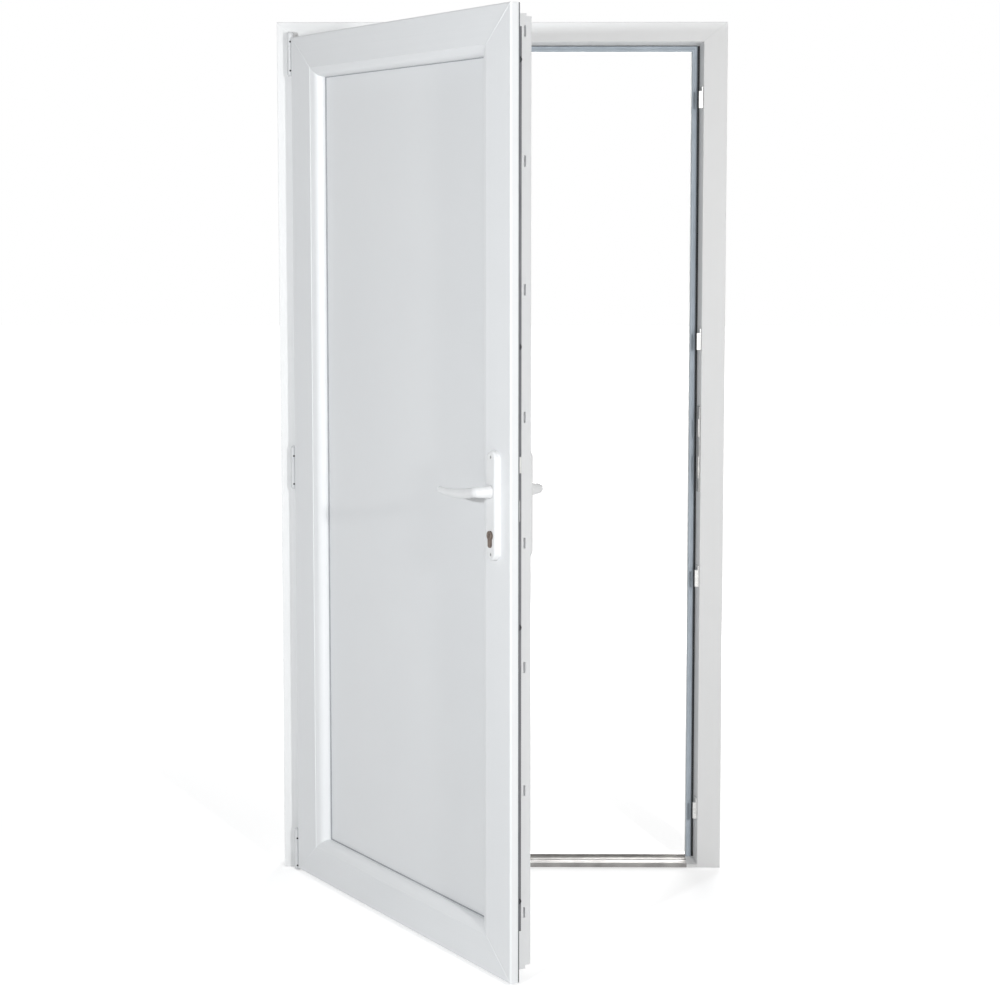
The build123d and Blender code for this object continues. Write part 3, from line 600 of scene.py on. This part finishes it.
PANEL_SEAL_LOW = (0.30, 0.31, 0.33)
PANEL_SEAL_HIGH = (0.42, 0.43, 0.45)
FLANGE_SEAL_LOW = (0.09, 0.095, 0.105)
FLANGE_SEAL_HIGH = (0.19, 0.20, 0.215)
panel_rubber = rubber("panel_seal_rubber", PANEL_SEAL_LOW, PANEL_SEAL_HIGH, UPRIGHT, OPEN_TURN)
dress(panel_rubber, "panel_seal_inside", "panel_seal_outside")
flange_rubber = rubber("flange_seal_rubber", FLANGE_SEAL_LOW, FLANGE_SEAL_HIGH, UPRIGHT, OPEN_TURN)
dress(flange_rubber, "flange_seal")


# Lock: a long steel strip let into the lock stile's edge, with four roller cams, latch and bolt.
# The strip is dark plated steel held by small countersunk screws; cams and bolts are turned and cast.

STRIP_LOW = (0.10, 0.10, 0.11)
STRIP_HIGH = (0.22, 0.22, 0.23)
STRIP_ROUGH = 0.34
STRIP_MIDDLE = -0.0314
STRIP_SCREW_FACE = 0.4722
STRIP_SCREW_RADIUS = 0.0032
STRIP_SCREWS = (0.126, 0.320, 0.520, 0.700, 0.920, 1.060, 1.160, 1.440, 1.640, 1.820, 1.988)
strip_steel = drawn_metal("strip_steel", STRIP_LOW, STRIP_HIGH, UPRIGHT, 0.3, STRIP_ROUGH, OPEN_TURN)
dress(strip_steel, "lock_strip")
dress(dark_steel, "roller_cams")
dress(keep_zinc, "latch_bolt", "dead_bolt", "lever_spindle")

bm = bmesh.new()
for level in STRIP_SCREWS:
    cross_screw(bm, (STRIP_SCREW_FACE, STRIP_MIDDLE, level), (1.0, 0.0, 0.0), STRIP_SCREW_RADIUS)
hang(bm)
piece("strip_screws", bm, screw_steel, "leaf")


# Handles: a long plate and a bowed lever on each side, on one square spindle, die-cast and coated white.
# The neck leaves the plate as a cone and sweeps into an oval grip that droops and thins to a round tip.

def sweep(bm, stations):
    """Carry a ring of the first station's size and slant through the others, and close both ends."""
    ring = bmesh.ops.create_circle(bm, segments=36, radius=1.0)["verts"]
    bmesh.ops.transform(bm, matrix=stations[0], verts=ring)
    edges = edges_of(ring)
    bmesh.ops.contextual_create(bm, geom=edges)
    for last, new in zip(stations, stations[1:]):
        drawn = bmesh.ops.extrude_edge_only(bm, edges=edges)["geom"]
        ring = [item for item in drawn if isinstance(item, bmesh.types.BMVert)]
        edges = [
            item for item in drawn
            if isinstance(item, bmesh.types.BMEdge) and all(vert in ring for vert in item.verts)
        ]
        bmesh.ops.transform(bm, matrix=new @ last.inverted(), verts=ring)
    bmesh.ops.contextual_create(bm, geom=edges)


def station(centre, heading, half_depth, half_height):
    """Place of an upright oval that faces along a level heading, in degrees from -Y towards -X."""
    way = Vector((-sin(radians(heading)), -cos(radians(heading)), 0.0))
    aside = Vector((-way.y, way.x, 0.0)) * half_depth
    up = Vector((0.0, 0.0, half_height))
    made = Matrix.Identity(4)
    for column, vector in enumerate((aside, up, way, Vector(centre))):
        made.col[column].xyz = vector
    return made


HANDLE_LOW = (0.765, 0.77, 0.775)
HANDLE_HIGH = (0.805, 0.81, 0.815)
handle_coat = powder_coat("handle_coat", HANDLE_LOW, HANDLE_HIGH)
dress(handle_coat, "inside_plate", "outside_plate")

LEVER_X = 0.437
LEVER_Z = 1.048
PLATE_FACE = -0.076
NECK_RINGS = (
    (-0.0020, 0.0110, 0.0110), (0.0004, 0.0110, 0.0110), (0.0006, 0.0135, 0.0135),
    (0.0014, 0.0140, 0.0140), (0.0060, 0.0136, 0.0136), (0.0130, 0.0126, 0.0128),
)
BEND = 0.014
BEND_STEPS = 8
BEND_DEPTH = 0.0118
BEND_HEIGHT = 0.0122
GRIP_OUT = -0.105
GRIP_RUN = 0.146
GRIP_STEPS = 24
GRIP_DEPTH = 0.0102
GRIP_HEIGHT = 0.0110
DROOP = 0.011
DROOP_BOW = 2.2
TIP_DEPTH = 0.0050
TIP_HEIGHT = 0.0065
TIP_RINGS = ((0.0016, 0.93), (0.0028, 0.78), (0.0035, 0.55), (0.0038, 0.25))
stations = []
for out, half_depth, half_height in NECK_RINGS:
    stations.append(station((LEVER_X, PLATE_FACE - out, LEVER_Z), 0.0, half_depth, half_height))
for step in range(BEND_STEPS + 1):
    share = step / BEND_STEPS
    turn = 90.0 * share
    centre = (
        LEVER_X - BEND * (1 - cos(radians(turn))),
        GRIP_OUT + BEND * (1 - sin(radians(turn))),
        LEVER_Z,
    )
    half_depth = BEND_DEPTH - (BEND_DEPTH - GRIP_DEPTH) * share
    half_height = BEND_HEIGHT - (BEND_HEIGHT - GRIP_HEIGHT) * share
    stations.append(station(centre, turn, half_depth, half_height))
for step in range(1, GRIP_STEPS + 1):
    along = step / GRIP_STEPS
    droop = DROOP * sin(DROOP_BOW * along ** 0.9)
    half_depth = GRIP_DEPTH - (GRIP_DEPTH - TIP_DEPTH) * along ** 0.7
    half_height = GRIP_HEIGHT - (GRIP_HEIGHT - TIP_HEIGHT) * along ** 2
    centre = (LEVER_X - BEND - GRIP_RUN * along, GRIP_OUT, LEVER_Z - droop)
    stations.append(station(centre, 90.0, half_depth, half_height))
for out, share in TIP_RINGS:
    tip = (LEVER_X - BEND - GRIP_RUN - out, GRIP_OUT, LEVER_Z - DROOP * sin(DROOP_BOW))
    stations.append(station(tip, 90.0, TIP_DEPTH * share, TIP_HEIGHT * share))

LEAF_MIDDLE = (LEAF_FRONT + LEAF_BACK) / 2
LEVER_SHARP = 60.0
for name, flip in (("inside", 1.0), ("outside", -1.0)):
    bm = bmesh.new()
    sweep(bm, stations)
    bmesh.ops.translate(bm, vec=(0.0, -LEAF_MIDDLE, 0.0), verts=bm.verts)
    bmesh.ops.scale(bm, vec=(1.0, flip, 1.0), verts=bm.verts)
    bmesh.ops.translate(bm, vec=(0.0, LEAF_MIDDLE, 0.0), verts=bm.verts)
    hang(bm)
    lever = piece(f"lever_{name}", bm, handle_coat, "levers", LEVER_SHARP)
    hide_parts(f"{name}_lever")

PLATE_SCREWS = (1.121, 0.916)
PLATE_SCREW_FACES = ((-0.0748, -1.0), (0.0188, 1.0))
bm = bmesh.new()
for level in PLATE_SCREWS:
    for face, outward in PLATE_SCREW_FACES:
        cross_screw(bm, (LEVER_X, face, level), (0.0, outward, 0.0), SCREW_RADIUS)
hang(bm)
piece("plate_screws", bm, screw_steel, "leaf")


# Key cylinder: a profile cylinder of dull nickel-plated brass, with its plug turned to fit.
# It passes through both plates and is held by one screw from the edge of the leaf.

NICKEL_LOW = (0.09, 0.07, 0.06)
NICKEL_HIGH = (0.26, 0.21, 0.18)
dress(plated_steel("cylinder_nickel", NICKEL_LOW, NICKEL_HIGH, 0.30), "lock_cylinder")


# Floor and backdrop: a plain pale studio floor that runs out of sight.
# It shows white to the camera and still takes the door's soft shadow.

def seen_directly(tree):
    """1 for rays from the camera, in mirrors and through glass, 0 for light on its way."""
    seen = Flow(tree).node("ShaderNodeLightPath", output="Is Camera Ray")
    outputs = seen.socket.node.outputs
    gloss = Flow(tree, outputs["Is Glossy Ray"])
    clear = Flow(tree, outputs["Is Transmission Ray"])
    return seen.math("MAXIMUM", seen, seen.math("MAXIMUM", gloss, clear))


FLOOR_SIZE = 30.0
FLOOR_LEVEL = -0.0005
FLOOR_TONE = (0.84, 0.84, 0.84, 1.0)
GLOW_REACH = {"From Min": 1.2, "From Max": 4.5, "To Min": 0.45, "To Max": 1.0}
bm = bmesh.new()
bmesh.ops.create_grid(bm, x_segments=1, y_segments=1, size=FLOOR_SIZE)
bmesh.ops.translate(bm, verts=bm.verts, vec=(0.0, 0.0, FLOOR_LEVEL))
floor_mesh = bpy.data.meshes.new("studio_floor")
bm.to_mesh(floor_mesh)
bm.free()
floor = bpy.data.objects.new("studio_floor", floor_mesh)
scene.collection.objects.link(floor)
floor_paint = bpy.data.materials.new("floor_paint")
floor_paint.use_nodes = True
floor_tree = floor_paint.node_tree
floor_place = Flow(floor_tree).node("ShaderNodeTexCoord", output="Object")
away = floor_place.node(
    "ShaderNodeVectorMath", {"operation": "LENGTH"}, {0: floor_place}, "Value"
)
spread = away.node(
    "ShaderNodeMapRange", {"interpolation_type": "SMOOTHSTEP"}, {"Value": away, **GLOW_REACH}
)
matt = away.node("ShaderNodeBsdfDiffuse", None, {"Color": FLOOR_TONE})
glow = away.node("ShaderNodeEmission", None, {"Strength": spread * seen_directly(floor_tree)})
floor_sum = away.node("ShaderNodeAddShader", None, {0: matt, 1: glow})
floor_tree.links.new(floor_sum.socket, floor_tree.nodes["Material Output"].inputs["Surface"])
floor_mesh.materials.append(floor_paint)


# Light: an even pale surround, a small lamp on the lock side of the camera and one to its left.
# A large soft box behind the doorway lights the far side and the walls of the rebates.

SURROUND = 0.30
world = bpy.data.worlds.new("studio")
scene.world = world
world.use_nodes = True
sky = world.node_tree.nodes["Background"]
sky.inputs["Color"].default_value = (1.0, 1.0, 1.0, 1.0)
strength = SURROUND + (1.0 - SURROUND) * seen_directly(world.node_tree)
world.node_tree.links.new(strength.socket, sky.inputs["Strength"])


def lamp(name, place, target, size, power, colour):
    """A square soft box aimed at a point."""
    data = bpy.data.lights.new(name, "AREA")
    data.size = size
    data.energy = power
    data.color = colour
    made = bpy.data.objects.new(name, data)
    made.location = place
    made.rotation_euler = (Vector(target) - Vector(place)).to_track_quat("-Z", "Y").to_euler()
    made.visible_camera = False
    scene.collection.objects.link(made)


lamp(
    "right_lamp", place=(2.00, -5.00, 1.92), target=(0.3, 0.0, 0.2),
    size=0.18, power=99.0, colour=(1.0, 0.995, 0.985),
)
lamp(
    "left_lamp", place=(-2.10, -4.40, 1.90), target=(0.0, -0.3, 0.9),
    size=0.16, power=85.0, colour=(0.95, 0.98, 1.0),
)
lamp(
    "back_lamp", place=(0.80, 3.60, 1.60), target=(0.0, 0.0, 1.0),
    size=1.60, power=90.0, colour=(1.0, 1.0, 1.0),
)


# Camera: at eye height in front of the doorway, with a long lens tipped slightly down.
# A small shift of the lens brings the door to its place in the picture.

CAMERA_PLACE = (0.0377, -5.3936, 1.5970)
CAMERA_TIP = radians(90.0 - 5.555)
CAMERA_TURN = radians(0.46)
camera_data = bpy.data.cameras.new("camera")
camera_data.sensor_width = 36.0
camera_data.lens = 78.80
camera_data.shift_y = -0.06
camera = bpy.data.objects.new("camera", camera_data)
camera.location = CAMERA_PLACE
camera.rotation_euler = (CAMERA_TIP, 0.0, CAMERA_TURN)
scene.collection.objects.link(camera)
scene.camera = camera
scene.view_settings.view_transform = "Standard"
